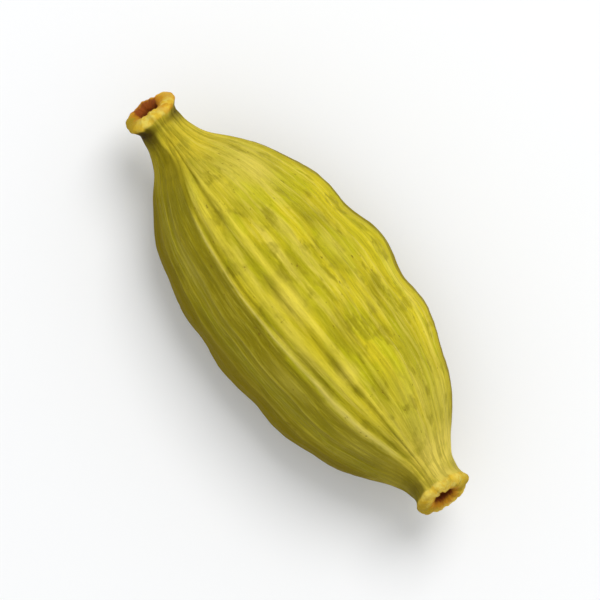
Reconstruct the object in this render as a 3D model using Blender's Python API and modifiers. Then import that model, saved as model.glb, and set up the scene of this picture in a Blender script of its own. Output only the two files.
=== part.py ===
"""A green cardamom pod, lying on one of its three flat sides.

The pod grew as one piece: a three-cornered husk that its seeds push out in rows, with veins along it
and a double midrib on its upper corner, drawn in at both ends to a neck with a flared, hollow collar.
It lies along X, in metres with +Z up. The surface that it rests on is z = 0, and the origin is under
the middle of its box.

Two coordinates place every point of the skin: along, the distance from the rim of the long neck, and
vein, the angle round the pod that a vein keeps all its way, from 0 at the top and growing toward +Y.
"""

import math

import bpy
import numpy as np

MM = 0.001

# Whole pod
RIM_TO_RIM = 20.0 * MM
HEIGHT_TO_WIDTH = 0.95
HUSK_OUTLINE = MM * np.array(
    # Distance from the rim of the long neck, half width seen from above with no seed bulges.
    [
        (0.75, 0.93),
        (1.40, 1.00),
        (2.20, 1.32),
        (3.10, 2.07),
        (4.40, 2.91),
        (6.20, 3.54),
        (8.40, 3.88),
        (10.40, 3.95),
        (12.60, 3.80),
        (14.70, 3.50),
        (16.30, 2.87),
        (17.38, 2.20),
        (18.20, 1.54),
        (18.76, 1.21),
        (19.22, 1.12),
    ]
)

# Three-cornered section
CORNER_RISE = 0.085
TOP_CORNER_ANGLE = math.radians(-10.0)
CORNERED_BY_FULLNESS = (0.26, 0.78)

# Necks, bent up at both ends and the short one a little aside
NECK_RISE = 0.72 * MM
NECK_BEND_LENGTH = 4.2 * MM
NECK_ASIDE = -0.14 * MM

# Collars: a bead round each mouth, and the hollow inside it. The shares are of the collar's radius.
LONG_NECK_COLLAR_RADIUS = 1.20 * MM
SHORT_NECK_COLLAR_RADIUS = 1.27 * MM
BEAD_HALF_LENGTH = 0.23 * MM
BEAD_THICKNESS_SHARE = 0.32
BEAD_FROM = math.radians(-35.0)
BEAD_TO = math.radians(200.0)
HOLLOW_DEPTH = 0.95 * MM
HOLLOW_WALL_SHARE = 0.35
# Down the hollow's wall to the middle of its floor: share of the depth, share of the wall's radius.
HOLLOW_SHAPE = ((0.70, 1.0), (0.94, 0.62), (1.0, 0.0))
# Waves round the mouth: how many, their share of the radius, where they start.
COLLAR_WAVES = ((2, 0.035, 0.6), (3, 0.025, 2.1), (5, 0.015, 4.0))
COLLAR_WAVES_FROM_RIM = (0.5 * MM, 1.2 * MM)

# Veins, with the two of the midrib higher than the rest
VEINS = 32
VEIN_HEIGHT = 0.055 * MM
VEIN_HALF_WIDTH = math.radians(2.6)
VEIN_VARIATION = 0.35
VEIN_VARIATION_STEP = 2.4
MIDRIB_VEINS = (0, -1)
MIDRIB_HEIGHT = 0.17 * MM
THIRD_LINE_VEIN = -2
THIRD_LINE_HEIGHT = 0.10 * MM
RELIEF_FROM_RIM = (0.40 * MM, 1.60 * MM)

# The lines below the midrib bow out toward -Y over the long neck's half, and close up at both ends.
SWAY_CENTRE = math.radians(-15.0)
SWAY_WIDTH = math.radians(9.0)
SWAY_OUT = math.radians(5.0)
SWAY_IN = math.radians(-5.5)
SWAY_PEAK = 0.40

# Rows of seeds under the husk: the row's angle from the top toward +Y, the distance of its first seed
# from the rim of the long neck, the distance from seed to seed, how far a full seed lifts the husk, and
# how full each of its seeds is.
SEED_ROWS = (
    (math.radians(17.0), 4.15 * MM, 3.22 * MM, 0.13 * MM, (1.10, 0.90, 1.05, 1.20, 0.90)),
    (math.radians(99.0), 3.10 * MM, 3.45 * MM, 0.37 * MM, (0.50, 0.62, 1.20, 0.84, 0.35)),
    (math.radians(140.0), 4.90 * MM, 3.30 * MM, 0.16 * MM, (1.00, 1.20, 0.85, 0.90, 1.20)),
    (math.radians(-40.0), 5.10 * MM, 3.20 * MM, 0.12 * MM, (1.15, 0.80, 1.00, 1.20, 0.90)),
    (math.radians(-103.0), 4.45 * MM, 3.10 * MM, 0.23 * MM, (0.80, 1.06, 1.18, 0.82, 0.93)),
    (math.radians(-143.0), 3.60 * MM, 3.30 * MM, 0.16 * MM, (1.15, 1.10, 0.80, 1.00, 1.20)),
)
SEED_HALF_LENGTH = 1.05 * MM
SEED_HALF_ANGLE = math.radians(15.0)
SEED_BLEND = 4.0
BULGES_BY_FULLNESS = (0.50, 0.97)

# The spot that the pod rests on
REST_SPOT_DEPTH = 0.21 * MM

# Fineness of the surface
COLUMNS = 3 * VEINS
HUSK_ROWS = 42
ROW_CROWDING = 0.4
BEAD_ROWS = 7

HUSK_COLOUR = (0.50, 0.43, 0.035, 1.0)
HUSK_ROUGHNESS = 0.62


def eased(span, value):
    """Rises from 0 at the span's start to 1 at its end without a kink."""
    start, end = span
    share = np.clip((value - start) / (end - start), 0.0, 1.0)
    return share * share * (3.0 - 2.0 * share)


def curve_through(stations, at):
    """A smooth curve through the stations (place, value), read at the given places."""
    places, values = stations.T
    slopes = np.gradient(values, places)
    at = np.clip(at, places[0], places[-1])
    i = np.clip(np.searchsorted(places, at) - 1, 0, len(places) - 2)
    step = places[i + 1] - places[i]
    t = (at - places[i]) / step
    from_left = values[i] * (1.0 + 2.0 * t) + slopes[i] * step * t
    from_right = values[i + 1] * (3.0 - 2.0 * t) - slopes[i + 1] * step * (1.0 - t)
    return from_left * (1.0 - t) ** 2 + from_right * t**2


def fullness(along):
    """The husk's half width as a share of its greatest one, from the necks' small value up to 1."""
    half_width = curve_through(HUSK_OUTLINE, along)
    return half_width / HUSK_OUTLINE[:, 1].max()


def corner_factor(angle):
    """How far the three-cornered section stands out at an angle, against a round one of the same width."""

    def cornered(at):
        leaning = at - TOP_CORNER_ANGLE * (1.0 + np.cos(at)) / 2.0
        return 1.0 + CORNER_RISE * np.cos(3.0 * leaning)

    sides = np.linspace(-math.pi, math.pi, 361)
    widest = np.max(cornered(sides) * np.abs(np.sin(sides)))
    return cornered(angle) / widest


def swayed(vein, along):
    """The angle round the pod at which a vein lies, there where the lines under the midrib bow."""
    share = along / RIM_TO_RIM
    bow = np.sin(math.pi * share ** (math.log(0.5) / math.log(SWAY_PEAK))) ** 2
    near_midrib = np.exp(-(((vein - SWAY_CENTRE) / SWAY_WIDTH) ** 2))
    return vein - (SWAY_IN + (SWAY_OUT - SWAY_IN) * bow) * near_midrib


def vein_height(number):
    """The height of a vein's crest. The low ones differ a little from each other."""
    if number in MIDRIB_VEINS:
        return MIDRIB_HEIGHT
    if number == THIRD_LINE_VEIN:
        return THIRD_LINE_HEIGHT
    return VEIN_HEIGHT * (1.0 + VEIN_VARIATION * math.sin(VEIN_VARIATION_STEP * number))


def vein_relief(vein, along):
    """Height of the veins over the skin between them, fading into the necks and gone at the rims."""
    pitch = 2.0 * math.pi / VEINS
    relief = np.zeros_like(vein)
    for number in range(-VEINS // 2, VEINS // 2):
        apart = (vein - number * pitch + math.pi) % (2.0 * math.pi) - math.pi
        relief += vein_height(number) * np.exp(-((apart / VEIN_HALF_WIDTH) ** 2))
    from_rim = np.minimum(along, RIM_TO_RIM - along)
    return relief * fullness(along) * eased(RELIEF_FROM_RIM, from_rim)


def seed_bulges(angle, along):
    """Height by which the seeds lift the husk. Neighbours blend, with a valley between them."""
    powers = np.zeros_like(angle)
    for row_angle, first, pitch, lift, sizes in SEED_ROWS:
        aside = (angle - row_angle + math.pi) % (2.0 * math.pi) - math.pi
        for seed, size in enumerate(sizes):
            lengthwise = (along - first - seed * pitch) / SEED_HALF_LENGTH
            nearness = np.exp(-0.5 * (lengthwise**2 + (aside / SEED_HALF_ANGLE) ** 2))
            powers += (size * lift * nearness) ** SEED_BLEND
    return powers ** (1.0 / SEED_BLEND) * eased(BULGES_BY_FULLNESS, fullness(along))


def collar_waves(angle, along):
    """The slight unevenness of the two mouths, as a share of their radius."""
    from_rim = np.minimum(along, RIM_TO_RIM - along)
    waves = sum(share * np.cos(count * angle + turn) for count, share, turn in COLLAR_WAVES)
    return waves * (1.0 - eased(COLLAR_WAVES_FROM_RIM, from_rim))


def neck_bend(along):
    """Height and sideways place of the pod's centre line, and the centre line's slope."""
    into_long_neck = np.clip(1.0 - along / NECK_BEND_LENGTH, 0.0, None)
    into_short_neck = np.clip(1.0 - (RIM_TO_RIM - along) / NECK_BEND_LENGTH, 0.0, None)
    height = NECK_RISE * (into_long_neck**2 + into_short_neck**2)
    slope = 2.0 * NECK_RISE * (into_short_neck - into_long_neck) / NECK_BEND_LENGTH
    aside = NECK_ASIDE * into_short_neck**2
    return height, aside, slope


def on_the_pod(blank):
    """Takes points of the turned blank, which stands on Z, to the surface of the lying pod."""
    along = blank[:, 2]
    radius = np.hypot(blank[:, 0], blank[:, 1])
    vein = np.arctan2(blank[:, 1], -blank[:, 0])
    angle = swayed(vein, along)

    cornered = eased(CORNERED_BY_FULLNESS, fullness(along))
    section = 1.0 + cornered * (corner_factor(angle) - 1.0) + collar_waves(angle, along)
    reach = radius * section + vein_relief(vein, along) + seed_bulges(angle, along)
    squash = 1.0 + cornered * (HEIGHT_TO_WIDTH - 1.0)
    sideways = reach * np.sin(angle)
    upward = reach * np.cos(angle) * squash

    height, aside, slope = neck_bend(along)
    lean = np.hypot(1.0, slope)
    x = along - upward * slope / lean
    y = aside + sideways
    z = height + upward / lean
    z = np.maximum(z - z.min() - REST_SPOT_DEPTH, 0.0)
    x -= (x.min() + x.max()) / 2.0
    y -= (y.min() + y.max()) / 2.0
    return np.column_stack([x, y, z])


def collar_profile(collar_radius):
    """Half of a collar's outline, from the neck's outer side over the rim to the hollow's floor.

    The points are (distance from the rim, radius).
    """
    half_thickness = collar_radius * BEAD_THICKNESS_SHARE
    middle = collar_radius - half_thickness
    bead = [
        (
            BEAD_HALF_LENGTH * (1.0 - math.sin(turn)),
            middle + half_thickness * math.cos(turn),
        )
        for turn in np.linspace(BEAD_FROM, BEAD_TO, BEAD_ROWS)
    ]
    wall_radius = collar_radius * HOLLOW_WALL_SHARE
    hollow = [(depth * HOLLOW_DEPTH, radius * wall_radius) for depth, radius in HOLLOW_SHAPE]
    return bead + hollow


def pod_profile():
    """The blank's outline as (radius, distance from the long neck's rim), down from the short neck."""
    short = [
        (radius, RIM_TO_RIM - depth)
        for depth, radius in collar_profile(SHORT_NECK_COLLAR_RADIUS)
    ]
    long = [(radius, depth) for depth, radius in collar_profile(LONG_NECK_COLLAR_RADIUS)]
    turns = np.linspace(0.0, math.pi, HUSK_ROWS)
    first, last = HUSK_OUTLINE[0, 0], HUSK_OUTLINE[-1, 0]
    even = turns / math.pi
    crowded = (1.0 - np.cos(turns)) / 2.0
    shares = (1.0 - ROW_CROWDING) * even + ROW_CROWDING * crowded
    places = last + (first - last) * shares
    husk = list(zip(curve_through(HUSK_OUTLINE, places), places))
    return short[::-1] + husk + long


def turned_blank(profile):
    """The profile turned once round Z, as a mesh."""
    outline = bpy.data.meshes.new("pod_outline")
    points = [(radius, 0.0, height) for radius, height in profile]
    edges = [(i, i + 1) for i in range(len(points) - 1)]
    outline.from_pydata(points, edges, [])
    blank = bpy.data.objects.new("pod_blank", outline)
    bpy.context.scene.collection.objects.link(blank)
    screw = blank.modifiers.new("turn", "SCREW")
    screw.axis = "Z"
    screw.angle = 2.0 * math.pi
    screw.steps = COLUMNS
    screw.render_steps = COLUMNS
    screw.use_merge_vertices = True
    screw.merge_threshold = 0.000001
    graph = bpy.context.evaluated_depsgraph_get()
    mesh = bpy.data.meshes.new_from_object(blank.evaluated_get(graph), depsgraph=graph)
    bpy.data.objects.remove(blank)
    bpy.data.meshes.remove(outline)
    return mesh


def husk_material():
    """Dried green husk."""
    material = bpy.data.materials.new("husk_skin")
    material.use_nodes = True
    surface = material.node_tree.nodes["Principled BSDF"]
    surface.inputs["Base Color"].default_value = HUSK_COLOUR
    surface.inputs["Roughness"].default_value = HUSK_ROUGHNESS
    surface.inputs["Metallic"].default_value = 0.0
    return material


def cardamom_pod(collection):
    """The whole pod, one skin from collar to collar."""
    mesh = turned_blank(pod_profile())
    mesh.name = "cardamom_pod"
    flat = np.empty(3 * len(mesh.vertices), np.float32)
    mesh.vertices.foreach_get("co", flat)
    placed = on_the_pod(flat.reshape(-1, 3).astype(np.float64))
    mesh.vertices.foreach_set("co", placed.astype(np.float32).ravel())
    mesh.update()
    mesh.shade_smooth()
    mesh.materials.append(husk_material())
    pod = bpy.data.objects.new("cardamom_pod", mesh)
    collection.objects.link(pod)
    return pod


def main():
    for thing in list(bpy.data.objects):
        bpy.data.objects.remove(thing)
    collection = bpy.data.collections.new("green_cardamom_pod")
    bpy.context.scene.collection.children.link(collection)
    cardamom_pod(collection)


main()
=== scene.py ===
"""Looks of a green cardamom pod: its fine skin, its finish, and the pale studio that it lies in.

The skin follows the solid's own formulas at about twenty times its fineness. Two coordinates place every
point of it: along, the distance from the rim of the long neck, and vein, the angle round the pod that a
vein keeps all its way, from 0 at the top and growing toward +Y.
"""

import logging
import math
from dataclasses import dataclass
from enum import Enum, auto

import bpy
import numpy as np
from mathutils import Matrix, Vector


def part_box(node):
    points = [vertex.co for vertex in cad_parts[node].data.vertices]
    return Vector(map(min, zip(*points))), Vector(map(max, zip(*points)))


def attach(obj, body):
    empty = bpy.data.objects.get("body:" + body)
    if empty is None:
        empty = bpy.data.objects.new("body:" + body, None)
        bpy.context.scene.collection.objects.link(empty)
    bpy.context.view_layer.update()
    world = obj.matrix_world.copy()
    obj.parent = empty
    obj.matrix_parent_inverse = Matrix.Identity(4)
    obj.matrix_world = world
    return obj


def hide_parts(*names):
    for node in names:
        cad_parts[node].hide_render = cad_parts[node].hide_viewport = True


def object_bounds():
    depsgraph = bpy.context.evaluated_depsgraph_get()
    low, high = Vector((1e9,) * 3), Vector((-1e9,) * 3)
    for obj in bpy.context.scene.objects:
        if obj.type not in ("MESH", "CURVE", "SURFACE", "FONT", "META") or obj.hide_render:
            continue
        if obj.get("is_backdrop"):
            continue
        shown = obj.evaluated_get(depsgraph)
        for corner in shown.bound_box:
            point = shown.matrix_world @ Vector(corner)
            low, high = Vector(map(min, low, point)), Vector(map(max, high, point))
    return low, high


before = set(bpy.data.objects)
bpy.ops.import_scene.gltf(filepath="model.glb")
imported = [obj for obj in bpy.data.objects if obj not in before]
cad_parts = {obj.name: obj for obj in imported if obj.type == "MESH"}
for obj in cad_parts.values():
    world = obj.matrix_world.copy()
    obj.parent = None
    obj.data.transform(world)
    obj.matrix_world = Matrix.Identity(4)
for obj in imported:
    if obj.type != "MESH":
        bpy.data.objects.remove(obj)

MM = 0.001
POD_NODE = "cardamom_pod"
POD_BODY = "root"
SKIN_NAME = "cardamom_pod_skin"

log = logging.getLogger("cardamom_pod")

Span = tuple[float, float]
Colour = tuple[float, float, float, float]


class SkinLayer(Enum):
    """Named values that the skin carries from its modelling to its finish."""

    PLACE = auto()
    TRUE_PLACE = auto()
    RIB = auto()
    MIDRIB = auto()
    GROOVE = auto()
    BELLY = auto()
    COLLAR = auto()
    LIP_TURN = auto()
    LIP_SIDE = auto()
    # Painted shade in the crease behind each collar.
    CREASE = auto()
    # Painted shade on the shaded -Y flank below the midrib.
    HOLLOW = auto()
    # Painted shade on the underside, toward the floor.
    FLANK_SHADE = auto()
    UNDERSIDE_SHADE = auto()
    BULGE = auto()
    DENT = auto()
    RISE = auto()
    THIRD_LINE = auto()
    # The short end's paler tone, with painted light on its lit side.
    PALE_LIT_END = auto()
    FAR_SIDE = auto()
    # The husk's paler ends, with painted light on their lit side.
    PALE_LIT_SHOULDER = auto()
    # Painted shade on the low -Y side of the lips.
    LOW_SIDE_SHADE = auto()

    @property
    def attribute(self) -> str:
        """Name of the mesh's attribute that stores it."""
        return f"skin_{self.name.lower()}"


def eased(span: Span, value: np.ndarray) -> np.ndarray:
    """Rises from 0 at the span's start to 1 at its end without a kink.

    Args:
        span: Where the rise starts and ends.
        value: Where to read it.

    Returns:
        The share reached at each value.
    """
    start, end = span
    share = np.clip((value - start) / (end - start), 0.0, 1.0)
    return share * share * (3.0 - 2.0 * share)


def in_radians(start: float, end: float) -> Span:
    """Takes a span of angles from degrees to radians."""
    return math.radians(start), math.radians(end)


def turned_apart(angle: np.ndarray, other: float | np.ndarray) -> np.ndarray:
    """The signed angle from other to angle, within half a turn."""
    return (angle - other + math.pi) % (2.0 * math.pi) - math.pi


@dataclass(frozen=True)
class SkinPoints:
    """Points of the skin.

    Attributes:
        along: Distance from the rim of the long neck.
        to_end: Distance from the rim of the short neck.
        vein: Angle round the pod that a vein keeps all its way.
        angle: Angle at which that vein lies there, from the top toward +Y.
        fullness: Half width of the husk there, as a share of the greatest one.
    """

    along: np.ndarray
    to_end: np.ndarray
    vein: np.ndarray
    angle: np.ndarray
    fullness: np.ndarray

    @property
    def share(self) -> np.ndarray:
        """Place from the long neck's rim, 0, to the short neck's, 1."""
        return self.along / (self.along + self.to_end)

    @property
    def from_rim(self) -> np.ndarray:
        """Distance from the nearer rim."""
        return np.minimum(self.along, self.to_end)

    @property
    def on_long_half(self) -> np.ndarray:
        """Whether the point is nearer the long neck."""
        return self.along < self.to_end


@dataclass(frozen=True)
class SkinNoise:
    """Smooth unevenness that closes on itself round the pod.

    Attributes:
        seed: Picks the pattern.
        across: Cells round the pod.
        lengthwise: Cells from rim to rim.
        amount: Its greatest value.
    """

    seed: int
    across: int
    lengthwise: int
    amount: float = 1.0

    def read(self, angle: np.ndarray, share: np.ndarray) -> np.ndarray:
        """Reads the unevenness.

        Args:
            angle: Angle round the pod, in radians.
            share: Place from the long neck's rim, 0, to the short neck's, 1.

        Returns:
            Values from minus the amount to the amount.
        """
        lattice = np.random.default_rng(self.seed).uniform(-1.0, 1.0, (self.across, self.lengthwise + 3))
        round_place = (angle / (2.0 * math.pi) % 1.0) * self.across
        length_place = np.clip(share, 0.0, 1.0) * self.lengthwise
        column = np.floor(round_place).astype(int)
        row = np.floor(length_place).astype(int)
        across = eased((0.0, 1.0), round_place - column)
        lengthwise = eased((0.0, 1.0), length_place - row)
        here, there = column % self.across, (column + 1) % self.across
        near = lattice[here, row] * (1.0 - across) + lattice[there, row] * across
        far = lattice[here, row + 1] * (1.0 - across) + lattice[there, row + 1] * across
        return self.amount * (near * (1.0 - lengthwise) + far * lengthwise)

    def on_line(self, share: np.ndarray) -> np.ndarray:
        """Reads the unevenness along one line from rim to rim."""
        return self.read(np.zeros_like(share), share)


@dataclass(frozen=True)
class HuskOutline:
    """The husk seen from above, without its seed bulges.

    Attributes:
        rim_to_rim: Length between the rims of the two collars.
        stations: Distance from the rim of the long neck and half width, in millimetres.
    """

    rim_to_rim: float = 20.0 * MM
    stations: tuple[Span, ...] = (
        (0.75, 0.93), (1.40, 1.00), (2.20, 1.32), (3.10, 2.07), (4.40, 2.91),
        (6.20, 3.54), (8.40, 3.88), (10.40, 3.95), (12.60, 3.80), (14.70, 3.50),
        (16.30, 2.87), (17.38, 2.20), (18.20, 1.54), (18.76, 1.21), (19.22, 1.12),
    )

    def half_width(self, along: np.ndarray) -> np.ndarray:
        """Half width of the husk, read from a smooth curve through the stations.

        Args:
            along: Distance from the rim of the long neck.

        Returns:
            The half width at each place.
        """
        places, values = MM * np.array(self.stations).T
        slopes = np.gradient(values, places)
        at = np.clip(along, places[0], places[-1])
        i = np.clip(np.searchsorted(places, at) - 1, 0, len(places) - 2)
        step = places[i + 1] - places[i]
        t = (at - places[i]) / step
        from_left = values[i] * (1.0 + 2.0 * t) + slopes[i] * step * t
        from_right = values[i + 1] * (3.0 - 2.0 * t) - slopes[i + 1] * step * (1.0 - t)
        return from_left * (1.0 - t) ** 2 + from_right * t**2

    def fullness(self, along: np.ndarray) -> np.ndarray:
        """Half width as a share of the greatest one."""
        return self.half_width(along) / (MM * max(half for _, half in self.stations))

    def husk_span(self) -> Span:
        """Where the husk starts behind the long neck's collar and ends behind the short neck's."""
        return MM * self.stations[0][0], MM * self.stations[-1][0]


@dataclass(frozen=True)
class HuskSection:
    """The three-cornered section.

    Attributes:
        corner_rise: How far a corner stands out from a round section, as a share.
        top_corner: Angle of the top corner.
        height_to_width: Squash of the section.
        cornered_by_fullness: Where the round neck turns into the cornered husk.
        trial_angles: Angles at which the section's width is tried.
    """

    corner_rise: float = 0.085
    top_corner: float = math.radians(-10.0)
    height_to_width: float = 0.95
    cornered_by_fullness: Span = (0.26, 0.78)
    trial_angles: int = 361

    def cornered(self, angle: np.ndarray) -> np.ndarray:
        """Reach of the section at an angle, before it is set to its width."""
        leaning = angle - self.top_corner * (1.0 + np.cos(angle)) / 2.0
        return 1.0 + self.corner_rise * np.cos(3.0 * leaning)

    def factor(self, angle: np.ndarray) -> np.ndarray:
        """Reach of the section at an angle against a round one of the same width.

        Args:
            angle: Angle from the top toward +Y.

        Returns:
            The factor at each angle.
        """
        sides = np.linspace(-math.pi, math.pi, self.trial_angles)
        widest = np.max(self.cornered(sides) * np.abs(np.sin(sides)))
        return self.cornered(angle) / widest


@dataclass(frozen=True)
class MidribLine:
    """One line of the midrib, or with a negative height a groove beside it.

    Attributes:
        seed: Picks the way that it strays.
        angle_deg: The angle that it keeps, in degrees.
        half_width_deg: Half of its width, in degrees.
        height_mm: How far it stands out, in millimetres.
        squareness: 2 for a rounded crest, more for a flat-topped one.
        wander_deg: How far it strays, in degrees.
        bends: Number of times that it can turn on its way.
    """

    seed: int
    angle_deg: float
    half_width_deg: float
    height_mm: float
    squareness: float = 2.0
    wander_deg: float = 0.455
    bends: int = 11

    def shape(self, at: SkinPoints) -> np.ndarray:
        """Its crest across the veins, 1 on its line.

        Args:
            at: Points of the skin.

        Returns:
            The crest at each point.
        """
        stray = SkinNoise(self.seed, 2, self.bends, math.radians(self.wander_deg)).on_line(at.share)
        aside = np.abs(turned_apart(at.vein, math.radians(self.angle_deg) + stray))
        return np.exp(-((aside / math.radians(self.half_width_deg)) ** self.squareness))


@dataclass(frozen=True)
class VeinNet:
    """The raised veins: the midrib on the top corner, strong veins all round, and fine ones between them.

    Attributes:
        strong: Number of strong veins round the pod, counting the midrib's.
        height: Height of a strong vein.
        half_width: Half width of a strong vein.
        upper_line: The midrib's thin upper line.
        groove: The groove below it.
        band: The broad crest of the midrib.
        valley: The groove between the band and the third line.
        third_line: The low, pale line that closes the midrib off.
        trough: The shallow hollow of the husk below the third line.
        midrib_numbers: The veins whose place the midrib takes.
        variation: How much the strong veins differ in height, as a share.
        variation_step: How fast the height changes from vein to vein.
        wander: How far a strong vein strays.
        wander_seed: Picks the way that the strong veins stray.
        wander_bends: Number of times that a strong vein can turn on its way.
        swell: How a strong vein swells and sinks on its way.
        fine_between: Fine veins between two strong ones.
        fine_height: Height of a fine vein.
        fine_half_width: Half width of a fine vein.
        fine_drift: How far a fine vein strays, in pitches.
        fine_fading: Where the fine veins fade in and out.
        relief_from_rim: Where the veins start behind a rim.
        sway_centre: Middle of the stretch that bows under the midrib.
        sway_width: Half width of that stretch.
        sway_out: How far it bows out, away from the midrib.
        sway_in: How far it draws in at both ends.
        sway_peak: Where along the pod it bows most, as a share.
    """

    strong: int = 32
    height: float = 0.060 * MM
    half_width: float = math.radians(1.6)
    upper_line: MidribLine = MidribLine(60, -1.2, 1.9, 0.115)
    groove: MidribLine = MidribLine(61, -5.4, 1.1, -0.070)
    band: MidribLine = MidribLine(62, -10.9, 2.5, 0.100, squareness=2.3)
    valley: MidribLine = MidribLine(63, -16.9, 1.6, -0.060)
    third_line: MidribLine = MidribLine(64, -21.0, 1.7, 0.080)
    trough: MidribLine = MidribLine(65, -32.0, 7.5, -0.090, wander_deg=0.0)
    midrib_numbers: tuple[int, int, int] = (0, -1, -2)
    variation: float = 0.35
    variation_step: float = 2.4
    wander: float = math.radians(1.3)
    wander_seed: int = 80
    wander_bends: int = 9
    swell: SkinNoise = SkinNoise(11, 32, 14, 0.40)
    fine_between: int = 2
    fine_height: float = 0.030 * MM
    fine_half_width: float = math.radians(0.95)
    fine_drift: SkinNoise = SkinNoise(23, 40, 16, 0.55)
    fine_fading: SkinNoise = SkinNoise(31, 48, 12)
    relief_from_rim: Span = (0.40 * MM, 1.60 * MM)
    sway_centre: float = math.radians(-15.0)
    sway_width: float = math.radians(9.0)
    sway_out: float = math.radians(5.0)
    sway_in: float = math.radians(-5.5)
    sway_peak: float = 0.40

    def swayed(self, vein: np.ndarray, share: np.ndarray) -> np.ndarray:
        """The angle at which a vein lies, where the lines under the midrib bow.

        Args:
            vein: The angle that the vein keeps.
            share: Place from the long neck's rim, 0, to the short neck's, 1.

        Returns:
            The angle from the top toward +Y.
        """
        peaked = np.clip(share, 0.0, 1.0) ** (math.log(0.5) / math.log(self.sway_peak))
        bow = np.sin(math.pi * peaked) ** 2
        near_midrib = np.exp(-(((vein - self.sway_centre) / self.sway_width) ** 2))
        return vein - (self.sway_in + (self.sway_out - self.sway_in) * bow) * near_midrib

    def midrib_relief(self, at: SkinPoints) -> np.ndarray:
        """Height of the midrib's lines over the skin beside it."""
        lines = [self.trough, self.upper_line, self.groove, self.band, self.valley, self.third_line]
        return sum(line.height_mm * MM * line.shape(at) for line in lines)

    def strong_relief(self, at: SkinPoints) -> np.ndarray:
        """Height of the strong veins, whose crests stray, swell and sink a little on their way.

        Args:
            at: Points of the skin.

        Returns:
            Height over the skin between the veins.
        """
        pitch = 2.0 * math.pi / self.strong
        relief = np.zeros_like(at.vein)
        for number in range(-self.strong // 2, self.strong // 2):
            if number in self.midrib_numbers:
                continue
            stray = SkinNoise(self.wander_seed + number, 2, self.wander_bends, self.wander)
            aside = turned_apart(at.vein, number * pitch + stray.on_line(at.share)) / self.half_width
            height = self.height * (1.0 + self.variation * math.sin(self.variation_step * number))
            relief += height * np.exp(-(aside**2))
        return relief * (1.0 + self.swell.read(at.vein, at.share))

    def fine_relief(self, at: SkinPoints) -> np.ndarray:
        """Height of the fine veins, which wander and fade in and out.

        Args:
            at: Points of the skin.

        Returns:
            Height over the skin between the veins.
        """
        pitch = 2.0 * math.pi / (self.strong * (self.fine_between + 1))
        drift = pitch * self.fine_drift.read(at.vein, at.share)
        aside = (at.vein + drift + pitch / 2.0) % pitch - pitch / 2.0
        fading = (1.0 + self.fine_fading.read(at.vein, at.share)) / 2.0
        return self.fine_height * fading * np.exp(-((aside / self.fine_half_width) ** 2))

    def fade(self, at: SkinPoints) -> np.ndarray:
        """Fading of all veins into the necks, and their end at the rims."""
        return at.fullness * eased(self.relief_from_rim, at.from_rim)


@dataclass(frozen=True)
class SeedRow:
    """One row of seeds under the husk.

    Attributes:
        angle_deg: The row's angle from the top toward +Y, in degrees.
        first_mm: Distance of its first seed from the rim of the long neck, in millimetres.
        pitch_mm: Distance from seed to seed, in millimetres.
        lift_mm: How far a full seed lifts the husk, in millimetres.
        sizes: How full each of its seeds is.
    """

    angle_deg: float
    first_mm: float
    pitch_mm: float
    lift_mm: float
    sizes: tuple[float, ...]


@dataclass(frozen=True)
class SeedBulges:
    """The bulges of the husk over its rows of seeds.

    Attributes:
        half_length: Half length of a bulge along the pod.
        half_angle: Half of its width round the pod.
        blend: How sharp the valley between two neighbours is.
        by_fullness: Where the bulges start to show and show fully.
        rows: The six rows, two in each of the three chambers.
    """

    half_length: float = 1.05 * MM
    half_angle: float = math.radians(15.0)
    blend: float = 4.0
    by_fullness: Span = (0.50, 0.97)
    rows: tuple[SeedRow, ...] = (
        SeedRow(17.0, 4.15, 3.22, 0.13, (1.10, 0.90, 1.05, 1.20, 0.90)),
        SeedRow(99.0, 3.10, 3.45, 0.37, (0.50, 0.62, 1.20, 0.84, 0.35)),
        SeedRow(140.0, 4.90, 3.30, 0.16, (1.00, 1.20, 0.85, 0.90, 1.20)),
        SeedRow(-40.0, 5.10, 3.20, 0.12, (1.15, 0.80, 1.00, 1.20, 0.90)),
        SeedRow(-103.0, 4.45, 3.10, 0.23, (0.80, 1.06, 1.18, 0.82, 0.93)),
        SeedRow(-143.0, 3.60, 3.30, 0.16, (1.15, 1.10, 0.80, 1.00, 1.20)),
    )

    def lift(self, at: SkinPoints) -> np.ndarray:
        """How far the seeds lift the husk. Neighbours blend, with a valley between them.

        Args:
            at: Points of the skin.

        Returns:
            The lift at each point.
        """
        powers = np.zeros_like(at.angle)
        for row in self.rows:
            aside = turned_apart(at.angle, math.radians(row.angle_deg)) / self.half_angle
            for seed, size in enumerate(row.sizes):
                middle = (row.first_mm + seed * row.pitch_mm) * MM
                lengthwise = (at.along - middle) / self.half_length
                nearness = np.exp(-0.5 * (lengthwise**2 + aside**2))
                powers += (size * row.lift_mm * MM * nearness) ** self.blend
        return powers ** (1.0 / self.blend) * eased(self.by_fullness, at.fullness)


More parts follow.
